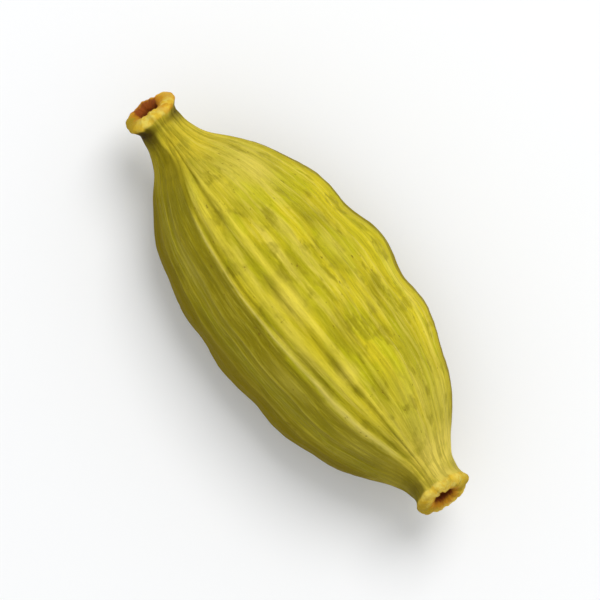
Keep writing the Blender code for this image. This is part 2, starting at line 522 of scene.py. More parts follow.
@dataclass(frozen=True)
class Collar:
    """One flared collar: a bead round the mouth, and the hollow inside it.

    Attributes:
        radius: Outer radius of the bead.
        bead_half_length: Half length of the bead along the pod.
        thickness_share: Half thickness of the bead, as a share of its radius.
        bead_turn: Angles, from facing outward, at which the bead starts at the neck and ends in the mouth.
        hollow_depth: Depth of the hollow behind the rim.
        wall_share: Radius of the hollow, as a share of the bead's.
        hollow_shape: Corners of the hollow's outline, as shares of its depth and radius.
        bead_rows: Rows of points on the bead.
        hollow_rows: Rows of points in the hollow.
    """

    radius: float
    bead_half_length: float = 0.23 * MM
    thickness_share: float = 0.32
    bead_turn: Span = in_radians(-35.0, 200.0)
    hollow_depth: float = 0.95 * MM
    wall_share: float = 0.35
    hollow_shape: tuple[Span, ...] = ((0.70, 1.0), (0.94, 0.62), (1.0, 0.0))
    bead_rows: int = 22
    hollow_rows: int = 12

    def profile(self) -> np.ndarray:
        """Half of the collar's outline from the neck's outer side over the rim to the hollow's floor.

        Returns:
            Distance from the rim, radius, place round the lip and depth into the hollow, by row.
        """
        half_thickness = self.radius * self.thickness_share
        turn = np.linspace(*self.bead_turn, self.bead_rows)
        bead_depth = self.bead_half_length * (1.0 - np.sin(turn))
        bead_radius = self.radius - half_thickness + half_thickness * np.cos(turn)
        wall = self.radius * self.wall_share
        corners = [(bead_depth[-1], bead_radius[-1])]
        corners += [(depth * self.hollow_depth, radius * wall) for depth, radius in self.hollow_shape]
        run = np.cumsum([0.0] + [math.dist(a, b) for a, b in zip(corners, corners[1:])])
        steps = np.linspace(0.0, run[-1], self.hollow_rows + 2)[1:-1]
        depths, radii = (np.interp(steps, run, values) for values in zip(*corners))
        lip = np.linspace(0.0, 1.0, self.bead_rows)
        inside = np.linspace(0.0, 1.0, self.hollow_rows + 1)[1:]
        bead = np.array([bead_depth, bead_radius, lip, np.zeros(self.bead_rows)])
        return np.hstack([bead, np.array([depths, radii, np.ones(self.hollow_rows), inside])])


@dataclass(frozen=True)
class NeckBend:
    """The centre line, which bends up at both ends.

    Attributes:
        rise: Height that a rim gains.
        length: Length of the bent stretch.
        aside: Sideways place of the short neck's rim.
    """

    rise: float = 0.72 * MM
    length: float = 4.2 * MM
    aside: float = -0.14 * MM

    def line(self, at: SkinPoints) -> tuple[np.ndarray, np.ndarray, np.ndarray]:
        """The centre line's height, sideways place and slope.

        Args:
            at: Points of the skin.

        Returns:
            Height, sideways place and slope at each point.
        """
        into_long = np.clip(1.0 - at.along / self.length, 0.0, None)
        into_short = np.clip(1.0 - at.to_end / self.length, 0.0, None)
        height = self.rise * (into_long**2 + into_short**2)
        slope = 2.0 * self.rise * (into_short - into_long) / self.length
        return height, self.aside * into_short**2, slope


@dataclass(frozen=True)
class SkinSpot:
    """One spot of the dried husk: a shallow, dull dent or a low, pale rise.

    Attributes:
        place_mm: Distance of its middle from the rim of the long neck, in millimetres.
        angle_deg: Its angle from the top toward +Y, in degrees.
        half_length_mm: Half of its length along the pod, in millimetres.
        half_angle_deg: Half of its width, in degrees.
        depth_mm: How deep the dent is or, if negative, how high the rise, in millimetres.
    """

    place_mm: float
    angle_deg: float
    half_length_mm: float
    half_angle_deg: float
    depth_mm: float

    def depth(self, at: SkinPoints) -> np.ndarray:
        """How deep the spot is drawn in, negative on a rise.

        Args:
            at: Points of the skin.

        Returns:
            The depth at each point.
        """
        lengthwise = (at.along / MM - self.place_mm) / self.half_length_mm
        aside = np.degrees(turned_apart(at.angle, math.radians(self.angle_deg))) / self.half_angle_deg
        return self.depth_mm * MM * np.exp(-(lengthwise**2 + aside**2))


# The spots of the dried husk, with the values in the order that SkinSpot has them.
SPOTS = (
    (3.2, -4.0, 0.45, 5.5, 0.040),
    (8.7, 14.0, 0.75, 4.5, 0.045),
    (12.2, 12.0, 1.15, 5.0, 0.055),
    (14.7, 9.0, 0.75, 4.5, 0.035),
    (7.6, 45.0, 0.55, 7.0, 0.040),
    (11.6, 52.0, 0.45, 8.0, 0.050),
    (5.2, -27.0, 1.20, 6.5, 0.045),
    (12.2, -17.5, 1.10, 3.5, 0.035),
    (13.6, -52.0, 0.80, 7.0, 0.050),
    (9.6, -62.0, 0.60, 6.0, 0.045),
    (7.3, 20.0, 1.50, 7.0, 0.028),
    (11.4, 22.0, 0.75, 6.0, 0.044),
    (10.3, 35.0, 1.20, 6.0, 0.018),
    (8.0, 61.0, 0.80, 8.0, 0.024),
    (12.9, 33.0, 0.70, 6.0, 0.024),
    (15.4, 3.0, 1.10, 6.0, 0.028),
    (4.6, -3.0, 0.90, 6.0, 0.030),
    (6.0, -15.0, 1.10, 5.0, 0.040),
    (5.4, 9.0, 1.10, 6.0, 0.026),
    (11.2, -13.0, 1.10, 4.0, 0.028),
    (17.1, -9.0, 1.10, 8.0, 0.038),
    (9.8, -3.5, 0.90, 7.0, -0.034),
    (13.6, -1.5, 0.50, 6.0, -0.036),
    (4.6, 46.0, 0.90, 13.0, -0.044),
    (8.9, 48.0, 1.20, 8.0, -0.020),
    (11.6, 44.0, 0.80, 7.0, -0.022),
    (12.6, -37.0, 1.10, 6.0, -0.014),
    (16.5, -36.0, 1.30, 7.0, -0.012),
    (15.5, 26.0, 0.80, 7.0, -0.014),
    (8.5, -36.0, 0.90, 6.0, 0.016),
    (14.1, 52.0, 0.80, 9.0, 0.018),
    (6.3, -50.0, 0.90, 8.0, -0.009),
)


@dataclass(frozen=True)
class ColourZones:
    """Where the colours of the husk show, as values that the finish reads.

    Each pair named for a place, an angle or a fullness says where a colour starts and ends.

    Attributes:
        round_mm: Radius at which patterns run round the pod, in millimetres.
        upper_line_share: How pale the midrib's upper line is.
        band_share: How pale its band is.
        neck_groove: How much of the midrib's grooves shows on the necks.
        third_line_start: Where the midrib's third line begins to show.
        husk_by_fullness: Where the neck turns into the husk.
        full_rib: Height of a vein, in strong veins, whose colour shows fully.
        full_spot: Depth of the dent, or height of the rise, whose colour shows fully.
        full_bulge: Lift of the husk that counts as a full bulge.
        lit_angles: Where the shaded side turns into the lit one.
        pale_end_along: Where the short neck's end turns pale.
        pale_end_in_shade: How pale that end is on the shaded side.
        shoulder_by_fullness: Where the husk turns pale toward its ends.
        shoulder_in_shade: How pale it turns on the shaded side.
        collar_from_rim: Where the collar's colour ends.
        short_far_side: How dark the short collar's far side is against the long one's.
        low_crease_angles: Where the painted shade in the crease behind a collar deepens on the low side.
        lit_crease: How deep that painted shade is on the lit side.
        crease_place: Its distance from the rim where the shade is faintest, and what deeper shade adds.
        crease_width: Its half width where the shade is faintest, and what deeper shade adds.
        long_crease: How dark it is on the long neck where the shade is faintest, and what deeper shade
            adds.
        short_crease: How dark it is on the short neck.
        flank_edge: Angle at which the painted shade of the shaded -Y flank begins.
        flank_drop: How much lower it begins beside the third line.
        neck_drop: How much lower it begins on the long neck.
        neck_along: Where the long neck ends for that.
        flank_blur: Width of that edge.
        low_flank_angles: Where the flank's painted shade thins out again.
        low_flank_loss: How much of it is lost there.
        lit_underside: Where the painted shade of the underside begins on the lit side.
        shaded_underside: Where it begins on the shaded side.
    """

    round_mm: float = 4.0
    upper_line_share: float = 0.88
    band_share: float = 0.60
    neck_groove: float = 0.35
    third_line_start: Span = (4.0 * MM, 5.8 * MM)
    husk_by_fullness: Span = (0.3, 0.6)
    full_rib: float = 2.0
    full_spot: float = 0.050 * MM
    full_bulge: float = 0.25 * MM
    lit_angles: Span = in_radians(-12.0, 18.0)
    # pale_end_along: Where the short neck's end turns pale, partly its own paler tone and partly painted
    # light.
    pale_end_along: Span = (13.0 * MM, 18.0 * MM)
    # pale_end_in_shade: How pale that end is on the shaded side; on the lit side it is fully pale, as
    # painted light.
    pale_end_in_shade: float = 0.4
    # shoulder_by_fullness: Where the husk turns pale toward its ends, partly its own paler tone and partly
    # painted light.
    shoulder_by_fullness: Span = (0.97, 0.62)
    # shoulder_in_shade: How pale it turns on the shaded side; on the lit side it is fully pale, as painted
    # light.
    shoulder_in_shade: float = 0.3
    collar_from_rim: Span = (0.28 * MM, 0.44 * MM)
    short_far_side: float = 0.55
    low_crease_angles: Span = in_radians(-2.0, -40.0)
    lit_crease: float = 0.8
    crease_place: Span = (0.64 * MM, 0.10 * MM)
    crease_width: Span = (0.13 * MM, 0.42 * MM)
    long_crease: Span = (0.34, 1.00)
    short_crease: float = 0.45
    flank_edge: float = math.radians(-15.0)
    flank_drop: float = math.radians(7.0)
    neck_drop: float = math.radians(8.0)
    neck_along: Span = (1.2 * MM, 2.4 * MM)
    flank_blur: float = math.radians(6.0)
    low_flank_angles: Span = in_radians(-40.0, -70.0)
    low_flank_loss: float = 0.30
    lit_underside: Span = in_radians(80.0, 104.0)
    shaded_underside: Span = in_radians(62.0, 90.0)

    def crease(self, at: SkinPoints) -> np.ndarray:
        """Painted shade in the crease behind a collar: most on the -Y side of the long neck, least on top.

        Args:
            at: Points of the skin.

        Returns:
            The painted shade at each point.
        """
        # Painted shade in the crease: deepest on the low -Y side, lighter on the lit side, none on top.
        lit_side = self.lit_crease * np.sin(at.angle) ** 2
        deeper_shade = np.where(at.angle < 0.0, eased(self.low_crease_angles, at.angle), lit_side)
        place, width, on_long = (
            faintest + more * deeper_shade for faintest, more in (self.crease_place, self.crease_width, self.long_crease)
        )
        by_end = np.where(at.on_long_half, on_long, self.short_crease * deeper_shade)
        return np.exp(-(((at.from_rim - place) / width) ** 2)) * np.clip(by_end, 0.0, 1.0)

    def flank_shade(self, at: SkinPoints) -> np.ndarray:
        """How much painted shade lies on the shaded -Y flank, from the midrib down to the underside.

        Args:
            at: Points of the skin.

        Returns:
            The share at each point.
        """
        edge = self.flank_edge - self.flank_drop * eased(self.third_line_start, at.along)
        edge -= self.neck_drop * (1.0 - eased(self.neck_along, at.along))
        below = eased((0.0, self.flank_blur), edge - at.vein)
        return below * (1.0 - self.low_flank_loss * eased(self.low_flank_angles, at.angle))

    def underside_shade(self, at: SkinPoints) -> np.ndarray:
        """How much painted shade lies on the underside, beginning lower down on the lit +Y side."""
        return eased(self.lit_underside, at.angle) + eased(self.shaded_underside, -at.angle)

    def layers(
        self, at: SkinPoints, net: VeinNet, relief: np.ndarray, bulge: np.ndarray, sunk: np.ndarray
    ) -> dict[SkinLayer, np.ndarray]:
        """The values that the finish reads at each point.

        Args:
            at: Points of the skin.
            net: The husk's veins.
            relief: Height of the veins.
            bulge: Lift by the seeds.
            sunk: Depth of the spots.

        Returns:
            One array for each layer.
        """
        round_place = [self.round_mm * np.cos(at.vein), self.round_mm * np.sin(at.vein)]
        raised = self.upper_line_share * net.upper_line.shape(at) + self.band_share * net.band.shape(at)
        grooved = net.groove.shape(at) + net.valley.shape(at)
        spotted = sunk / self.full_spot
        on_husk = eased(self.husk_by_fullness, at.fullness)
        lit = eased(self.lit_angles, at.angle)
        # Painted light: the pale ends and shoulders show more on the lit +Y side.
        pale_end = self.pale_end_in_shade + (1.0 - self.pale_end_in_shade) * lit
        shoulder = self.shoulder_in_shade + (1.0 - self.shoulder_in_shade) * lit
        on_neck = self.neck_groove + (1.0 - self.neck_groove) * on_husk
        third_line = net.third_line.shape(at) * eased(self.third_line_start, at.along)
        far_share = np.where(at.on_long_half, 1.0, self.short_far_side)
        return {
            SkinLayer.PLACE: np.column_stack([at.along / MM, *round_place]),
            SkinLayer.RIB: np.clip(relief / (self.full_rib * net.height), 0.0, 1.0),
            SkinLayer.MIDRIB: np.clip(raised, 0.0, 1.0) * on_husk,
            SkinLayer.GROOVE: np.clip(grooved, 0.0, 1.0) * on_neck,
            SkinLayer.BELLY: at.fullness,
            SkinLayer.THIRD_LINE: third_line * on_husk,
            SkinLayer.DENT: np.clip(spotted, 0.0, 1.0),
            SkinLayer.RISE: np.clip(-spotted, 0.0, 1.0),
            SkinLayer.PALE_LIT_END: pale_end * eased(self.pale_end_along, at.along),
            SkinLayer.COLLAR: 1.0 - eased(self.collar_from_rim, at.from_rim),
            # Painted shade in the crease behind each collar.
            SkinLayer.CREASE: self.crease(at),
            SkinLayer.LIP_SIDE: np.sin(at.angle) ** 2,
            # Painted shade on the low -Y side of the lips.
            SkinLayer.LOW_SIDE_SHADE: np.clip(-np.sin(at.angle), 0.0, 1.0) ** 2,
            # Painted shade on the shaded -Y flank.
            SkinLayer.FLANK_SHADE: self.flank_shade(at),
            SkinLayer.FAR_SIDE: (1.0 - np.cos(at.angle)) / 2.0 * far_share,
            SkinLayer.PALE_LIT_SHOULDER: shoulder * eased(self.shoulder_by_fullness, at.fullness),
            # Painted shade on the underside.
            SkinLayer.UNDERSIDE_SHADE: self.underside_shade(at),
            SkinLayer.BULGE: np.clip(bulge / self.full_bulge, 0.0, 1.0),
        }


@dataclass(frozen=True)
class SkinMesh:
    """The grid of faces over the skin's rows of points, closed by a fan on each hollow's floor.

    Attributes:
        rows: Rows of points, from the long neck's hollow to the short neck's.
        columns: Points in a row.
        uv_name: Name of the map that the skin is unrolled on.
    """

    rows: int
    columns: int
    uv_name: str = "OFBake"

    def corners(self) -> tuple[np.ndarray, np.ndarray]:
        """Row and column of every corner. A fan's middle lies before the first row or past the last.

        Returns:
            Corners of the faces between the rows, and of the fans, by (row or column, face, corner).
        """
        grid = np.meshgrid(np.arange(self.rows - 1), np.arange(self.columns), indexing="ij")
        row, column = (values.ravel() for values in grid)
        quads = np.array([[row, row, row + 1, row + 1], [column, column + 1, column + 1, column]])
        around = np.arange(self.columns)
        first = np.zeros(self.columns)
        last = first + self.rows - 1
        long_fan = np.array([[first, first, first - 1], [around + 1, around, around + 0.5]])
        short_fan = np.array([[last, last, last + 1], [around, around + 1, around + 0.5]])
        fans = np.stack([long_fan, short_fan], axis=-1).reshape(2, 3, -1)
        return quads.transpose(0, 2, 1), fans.transpose(0, 2, 1)

    def faces(self) -> list[tuple[int, ...]]:
        """Faces between the rows, and the two fans.

        Returns:
            The faces as corner numbers, facing out.
        """
        long_floor = self.rows * self.columns
        faces = []
        for row, column in self.corners():
            number = row * self.columns + column % self.columns
            number = np.where(row < 0, long_floor, np.where(row == self.rows, long_floor + 1, number))
            faces += [tuple(face) for face in number.astype(int).tolist()]
        return faces

    def unwrap(self, mesh: bpy.types.Mesh) -> None:
        """Unrolls the skin: round the pod to the right, along its outline upward.

        Args:
            mesh: The skin's mesh.
        """
        row, column = np.hstack([corners.reshape(2, -1) for corners in self.corners()])
        spread = np.column_stack([column / self.columns, (row + 1.0) / (self.rows + 1.0)])
        layer = mesh.uv_layers.new(name=self.uv_name)
        layer.data.foreach_set("uv", spread.astype(np.float32).ravel())

    def build(self, points: np.ndarray, layers: dict[SkinLayer, np.ndarray]) -> bpy.types.Mesh:
        """Makes the mesh.

        Args:
            points: The skin's points.
            layers: The layers that the finish reads, stored on the points.

        Returns:
            The mesh.
        """
        mesh = bpy.data.meshes.new(SKIN_NAME)
        mesh.from_pydata(points.tolist(), [], self.faces())
        for layer, values in layers.items():
            kind, name = ("FLOAT_VECTOR", "vector") if values.ndim == 2 else ("FLOAT", "value")
            stored = mesh.attributes.new(layer.attribute, kind, "POINT")
            stored.data.foreach_set(name, values.astype(np.float32).ravel())
        self.unwrap(mesh)
        mesh.shade_smooth()
        return mesh


@dataclass(frozen=True)
class PodSkin:
    """The whole pod, one skin from the one hollow to the other.

    Attributes:
        outline: The husk from above.
        section: Its three-cornered section.
        veins: Its raised veins.
        seeds: Its seed bulges.
        bend: The bent centre line.
        zones: Where its colours show.
        long_collar: The collar of the long neck.
        short_collar: The collar of the short neck.
        columns: Points round the pod.
        husk_rows: Rows of points between the collars.
        crease_rows: Rows of points between a collar's bead and its neck.
        crease_dip: How far the crease between them is drawn in.
        row_crowding: How much closer the husk's rows lie at its ends.
        rest_depth: How far the lowest side is pressed flat where the pod rests.
        collar_waves: Waves round a mouth, as (number, share of the radius, turn).
        waves_from_rim: Where those waves end behind the rim.
        raggedness: Ragged ends of the rims, coarse and fine.
        ragged_from_rim: Where those end behind the rim.
        wrinkles: Dents, small dents and crosswise wrinkles of the dried husk.
        wrinkles_by_fullness: Where those start to show and show fully.
        ribs: Ribs of the necks and collars, coarse and fine.
        ribs_from_rim: Where those end behind the rim.
        spots: The larger dents and rises of the husk.
    """

    outline: HuskOutline = HuskOutline()
    section: HuskSection = HuskSection()
    veins: VeinNet = VeinNet()
    seeds: SeedBulges = SeedBulges()
    bend: NeckBend = NeckBend()
    zones: ColourZones = ColourZones()
    long_collar: Collar = Collar(1.20 * MM)
    short_collar: Collar = Collar(1.27 * MM)
    columns: int = 448
    husk_rows: int = 138
    crease_rows: int = 8
    crease_dip: float = 0.035 * MM
    row_crowding: float = 0.4
    rest_depth: float = 0.21 * MM
    collar_waves: tuple[tuple[int, float, float], ...] = ((2, 0.035, 0.6), (3, 0.025, 2.1), (5, 0.015, 4.0))
    waves_from_rim: Span = (0.5 * MM, 1.2 * MM)
    raggedness: tuple[SkinNoise, ...] = (SkinNoise(9, 22, 1, 0.05 * MM), SkinNoise(10, 64, 1, 0.03 * MM))
    ragged_from_rim: Span = (0.25 * MM, 0.75 * MM)
    wrinkles: tuple[SkinNoise, ...] = (
        SkinNoise(5, 14, 11, 0.055 * MM),
        SkinNoise(6, 34, 26, 0.02475 * MM),
        SkinNoise(7, 90, 95, 0.013 * MM),
    )
    wrinkles_by_fullness: Span = (0.25, 0.8)
    ribs: tuple[SkinNoise, ...] = (SkinNoise(13, 42, 30, 0.022 * MM), SkinNoise(14, 84, 60, 0.0132 * MM))
    ribs_from_rim: Span = (1.2 * MM, 3.2 * MM)
    spots: tuple[SkinSpot, ...] = tuple(SkinSpot(*spot) for spot in SPOTS)

    def end_rows(self, collar: Collar, neck: Span) -> np.ndarray:
        """Rows of one end of the pod, from the neck over the crease and the bead into the hollow.

        Args:
            collar: The collar.
            neck: Distance from the rim and radius where the neck ends.

        Returns:
            Distance from the rim, radius, place round the lip and depth into the hollow, by row.
        """
        profile = collar.profile()
        share = np.linspace(0.0, 1.0, self.crease_rows + 2)[1:-1]
        depth, radius = (start + (end - start) * share for start, end in zip(neck, profile[:2, 0]))
        plain = np.zeros(self.crease_rows)
        crease = np.array([depth, radius - self.crease_dip * np.sin(math.pi * share), plain, plain])
        return np.hstack([crease, profile])

    def blank(self) -> np.ndarray:
        """The straight, round blank that the skin is shaped from, from the one hollow to the other.

        Returns:
            Distance from the long neck's rim, radius, place round a lip and depth into a hollow, by row.
        """
        first, last = self.outline.husk_span()
        rim = self.outline.rim_to_rim
        even = np.linspace(0.0, 1.0, self.husk_rows)
        crowded = (1.0 - np.cos(math.pi * even)) / 2.0
        share = (1.0 - self.row_crowding) * even + self.row_crowding * crowded
        along = first + (last - first) * share
        radius = self.outline.half_width(along)
        husk = np.vstack([along, radius, np.zeros((2, self.husk_rows))])
        long_end = self.end_rows(self.long_collar, (first, radius[0]))
        short_end = self.end_rows(self.short_collar, (rim - last, radius[-1]))
        short_end[0] = rim - short_end[0]
        return np.hstack([long_end[:, ::-1], husk, short_end])

    def unevenness(self, at: SkinPoints) -> np.ndarray:
        """Dents and crosswise wrinkles of the dried husk, and the ribs of its necks and collars.

        Args:
            at: Points of the skin.

        Returns:
            Height to add to the skin.
        """
        wrinkles = sum(noise.read(at.vein, at.share) for noise in self.wrinkles)
        ribs = sum(noise.read(at.angle, at.share) for noise in self.ribs)
        on_husk = eased(self.wrinkles_by_fullness, at.fullness)
        return wrinkles * on_husk + ribs * (1.0 - eased(self.ribs_from_rim, at.from_rim))

    def collar_factor(self, at: SkinPoints) -> np.ndarray:
        """Slight unevenness of the two mouths, as a share of their radius."""
        waves = sum(share * np.cos(count * at.angle + turn) for count, share, turn in self.collar_waves)
        return waves * (1.0 - eased(self.waves_from_rim, at.from_rim))

    def ragged(self, at: SkinPoints, inside: np.ndarray) -> np.ndarray:
        """How far the ragged rims stand forward or back, along +X.

        Args:
            at: Points of the skin.
            inside: Depth in a hollow, 0 outside and 1 on its floor.

        Returns:
            The distance at each point.
        """
        near_rim = 1.0 - eased(self.ragged_from_rim, at.from_rim)
        ragged = sum(noise.read(at.angle, at.share) for noise in self.raggedness) * near_rim
        return np.where(at.on_long_half, -ragged, ragged) * (inside <= 0.0)

    def shape(self) -> tuple[np.ndarray, dict[SkinLayer, np.ndarray]]:
        """Takes the points of the blank to the surface of the lying pod.

        Returns:
            The points, row by row and then the two floor centres, and the layers that the finish reads.
        """
        blank = self.blank()
        rim = self.outline.rim_to_rim
        turns = np.arange(self.columns) / self.columns * 2.0 * math.pi - math.pi
        vein = np.append(np.tile(turns, blank.shape[1]), [0.0, 0.0])
        floor_places = [self.long_collar.hollow_depth, rim - self.short_collar.hollow_depth]
        floors = np.array([floor_places, [0.0, 0.0], [1.0, 1.0], [1.0, 1.0]])
        along, radius, lip, inside = np.hstack([np.repeat(blank, self.columns, axis=1), floors])
        angle = self.veins.swayed(vein, along / rim)
        at = SkinPoints(along, rim - along, vein, angle, self.outline.fullness(along))

        cornered = eased(self.section.cornered_by_fullness, at.fullness)
        fade = self.veins.fade(at)
        veins = (self.veins.strong_relief(at) + self.veins.fine_relief(at)) * fade
        bulge = self.seeds.lift(at)
        sunk = sum(spot.depth(at) for spot in self.spots)
        factor = 1.0 + cornered * (self.section.factor(angle) - 1.0) + self.collar_factor(at)
        reach = radius * factor + self.veins.midrib_relief(at) * fade + veins + bulge
        reach += self.unevenness(at) - sunk
        upward = reach * np.cos(angle) * (1.0 + cornered * (self.section.height_to_width - 1.0))

        height, aside, slope = self.bend.line(at)
        lean = np.hypot(1.0, slope)
        x = along + self.ragged(at, inside) - upward * slope / lean
        y = aside + reach * np.sin(angle)
        z = height + upward / lean
        z = np.maximum(z - z.min() - self.rest_depth, 0.0)

        layers = self.zones.layers(at, self.veins, veins, bulge, sunk)
        straight = [along, radius * np.cos(angle), radius * np.sin(angle)]
        layers[SkinLayer.TRUE_PLACE] = np.column_stack(straight) / MM
        layers[SkinLayer.LIP_TURN] = lip
        layers[SkinLayer.HOLLOW] = inside
        return np.column_stack([x, y, z]), layers

    def fitted(self, points: np.ndarray) -> np.ndarray:
        """Sets the fine skin into the solid's own box.

        Args:
            points: The skin's points.

        Returns:
            The points, with the lowest and highest of each axis on the solid's.
        """
        low, high = (np.array(corner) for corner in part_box(POD_NODE))
        own_low, own_high = points.min(axis=0), points.max(axis=0)
        return low + (points - own_low) / (own_high - own_low) * (high - low)

    def build(self) -> bpy.types.Object:
        """Models the skin.

        Returns:
            The skin's object, with its layers stored on its points.
        """
        points, layers = self.shape()
        mesh = SkinMesh((len(points) - 2) // self.columns, self.columns).build(self.fitted(points), layers)
        skin = bpy.data.objects.new(SKIN_NAME, mesh)
        bpy.context.scene.collection.objects.link(skin)
        return skin

    def dress(self, skin: bpy.types.Object, material: bpy.types.Material) -> None:
        """Puts the finish on the skin and the skin in the place of its solid.

        Args:
            skin: The skin's object.
            material: Its finish.
        """
        skin.data.materials.append(material)
        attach(skin, POD_BODY)
        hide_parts(POD_NODE)


@dataclass(frozen=True)
class Pattern:
    """One noise pattern of the finish, about 0.5 in the mean.

    Attributes:
        along: Scale along the pod.
        across: Scale round the pod.
        octaves: Number of octaves.
        roughness: Weight of the finer octaves.
        scale: Cells to the scaled millimetre.
        place: The place on the skin that it is read at.
    """

    along: float
    across: float
    octaves: float
    roughness: float
    scale: float = 1.0
    place: SkinLayer = SkinLayer.PLACE


Source = Pattern | SkinLayer | bpy.types.NodeSocket


@dataclass(frozen=True)
class Ramp:
    """How strongly something shows, by the value of a pattern or a layer.

    Attributes:
        source: What is read.
        span: Start and end of the values that count.
        to: How strongly it shows at the start and at the end.
    """

    source: Source
    span: Span
    to: Span = (0.0, 1.0)


# A coat's strength is the product of its factors. A coat is a colour, followed by them.
Factor = Ramp | Source | float
Coat = tuple[object, ...]


class NodeBoard:
    """Lays out one material's nodes."""

    def __init__(self, name: str) -> None:
        """Starts an empty board.

        Args:
            name: The material's name.
        """
        self.material = bpy.data.materials.new(name)
        self.material.use_nodes = True
        self.tree = self.material.node_tree
        self.surface = self.tree.nodes["Principled BSDF"]
        self.known: dict[Pattern | SkinLayer, bpy.types.NodeSocket] = {}

    def node(self, kind: str, **settings: object) -> bpy.types.Node:
        """Adds a node.

        Args:
            kind: Its type.
            settings: Its own settings.

        Returns:
            The node.
        """
        made = self.tree.nodes.new(kind)
        for name, value in settings.items():
            setattr(made, name, value)
        return made

    def plug(self, value: object, socket: bpy.types.NodeSocket) -> None:
        """Links an output to a socket, or sets the socket to a plain value.

        Args:
            value: The output or the plain value.
            socket: The socket.
        """
        if isinstance(value, bpy.types.NodeSocket):
            self.tree.links.new(value, socket)
        else:
            socket.default_value = value

    def layer(self, layer: SkinLayer) -> bpy.types.NodeSocket:
        """Reads a layer that the skin carries."""
        reader = self.node("ShaderNodeAttribute", attribute_name=layer.attribute)
        return reader.outputs["Vector" if layer in (SkinLayer.PLACE, SkinLayer.TRUE_PLACE) else "Fac"]

    def noise(self, pattern: Pattern) -> bpy.types.NodeSocket:
        """Lays out a noise pattern, which runs with the veins where it is read at the straightened place.

        Args:
            pattern: The pattern.

        Returns:
            Its value.
        """
        mapping = self.node("ShaderNodeMapping", vector_type="POINT")
        self.plug(self.read(pattern.place), mapping.inputs["Vector"])
        mapping.inputs["Scale"].default_value = (pattern.along, pattern.across, pattern.across)
        made = self.node("ShaderNodeTexNoise")
        self.plug(mapping.outputs["Vector"], made.inputs["Vector"])
        made.inputs["Scale"].default_value = pattern.scale
        made.inputs["Detail"].default_value = pattern.octaves
        made.inputs["Roughness"].default_value = pattern.roughness
        return made.outputs["Fac"]

    def read(self, source: Source) -> bpy.types.NodeSocket:
        """Finds the value of a pattern or a layer, each laid out once.

        Args:
            source: What is read.

        Returns:
            Its value.
        """
        if isinstance(source, bpy.types.NodeSocket):
            return source
        if source not in self.known:
            self.known[source] = self.noise(source) if isinstance(source, Pattern) else self.layer(source)
        return self.known[source]

    def ramp(self, ramp: Ramp) -> bpy.types.NodeSocket:
        """Lays out a ramp, which changes smoothly between its ends.

        Args:
            ramp: The ramp.

        Returns:
            Its value.
        """
        made = self.node("ShaderNodeMapRange", interpolation_type="SMOOTHSTEP")
        self.plug(self.read(ramp.source), made.inputs["Value"])
        made.inputs["From Min"].default_value, made.inputs["From Max"].default_value = ramp.span
        made.inputs["To Min"].default_value, made.inputs["To Max"].default_value = ramp.to
        return made.outputs["Result"]

    def value(self, factor: Factor) -> bpy.types.NodeSocket | float:
        """Finds the value of a ramp, a pattern, a layer or a plain number.

        Args:
            factor: What is read.

        Returns:
            Its value.
        """
        if isinstance(factor, float):
            return factor
        return self.ramp(factor) if isinstance(factor, Ramp) else self.read(factor)

    def reckon(self, operation: str, *factors: Factor) -> bpy.types.NodeSocket | float:
        """Adds or multiplies values, one after the other.

        Args:
            operation: ADD or MULTIPLY.
            factors: The values.

        Returns:
            The result.
        """
        result, *others = (self.value(factor) for factor in factors)
        for other in others:
            made = self.node("ShaderNodeMath", operation=operation)
            self.plug(result, made.inputs[0])
            self.plug(other, made.inputs[1])
            result = made.outputs["Value"]
        return result

    def blend(self, under: object, over: object, *factors: Factor) -> bpy.types.NodeSocket:
        """Lays one colour over another.

        Args:
            under: The lower colour.
            over: The upper colour.
            factors: What its strength is the product of.

        Returns:
            The blended colour.
        """
        made = self.node("ShaderNodeMix", data_type="RGBA")
        share, lower, upper = made.inputs[0], made.inputs[6], made.inputs[7]
        self.plug(self.reckon("MULTIPLY", *factors), share)
        self.plug(under, lower)
        self.plug(over, upper)
        return made.outputs[2]


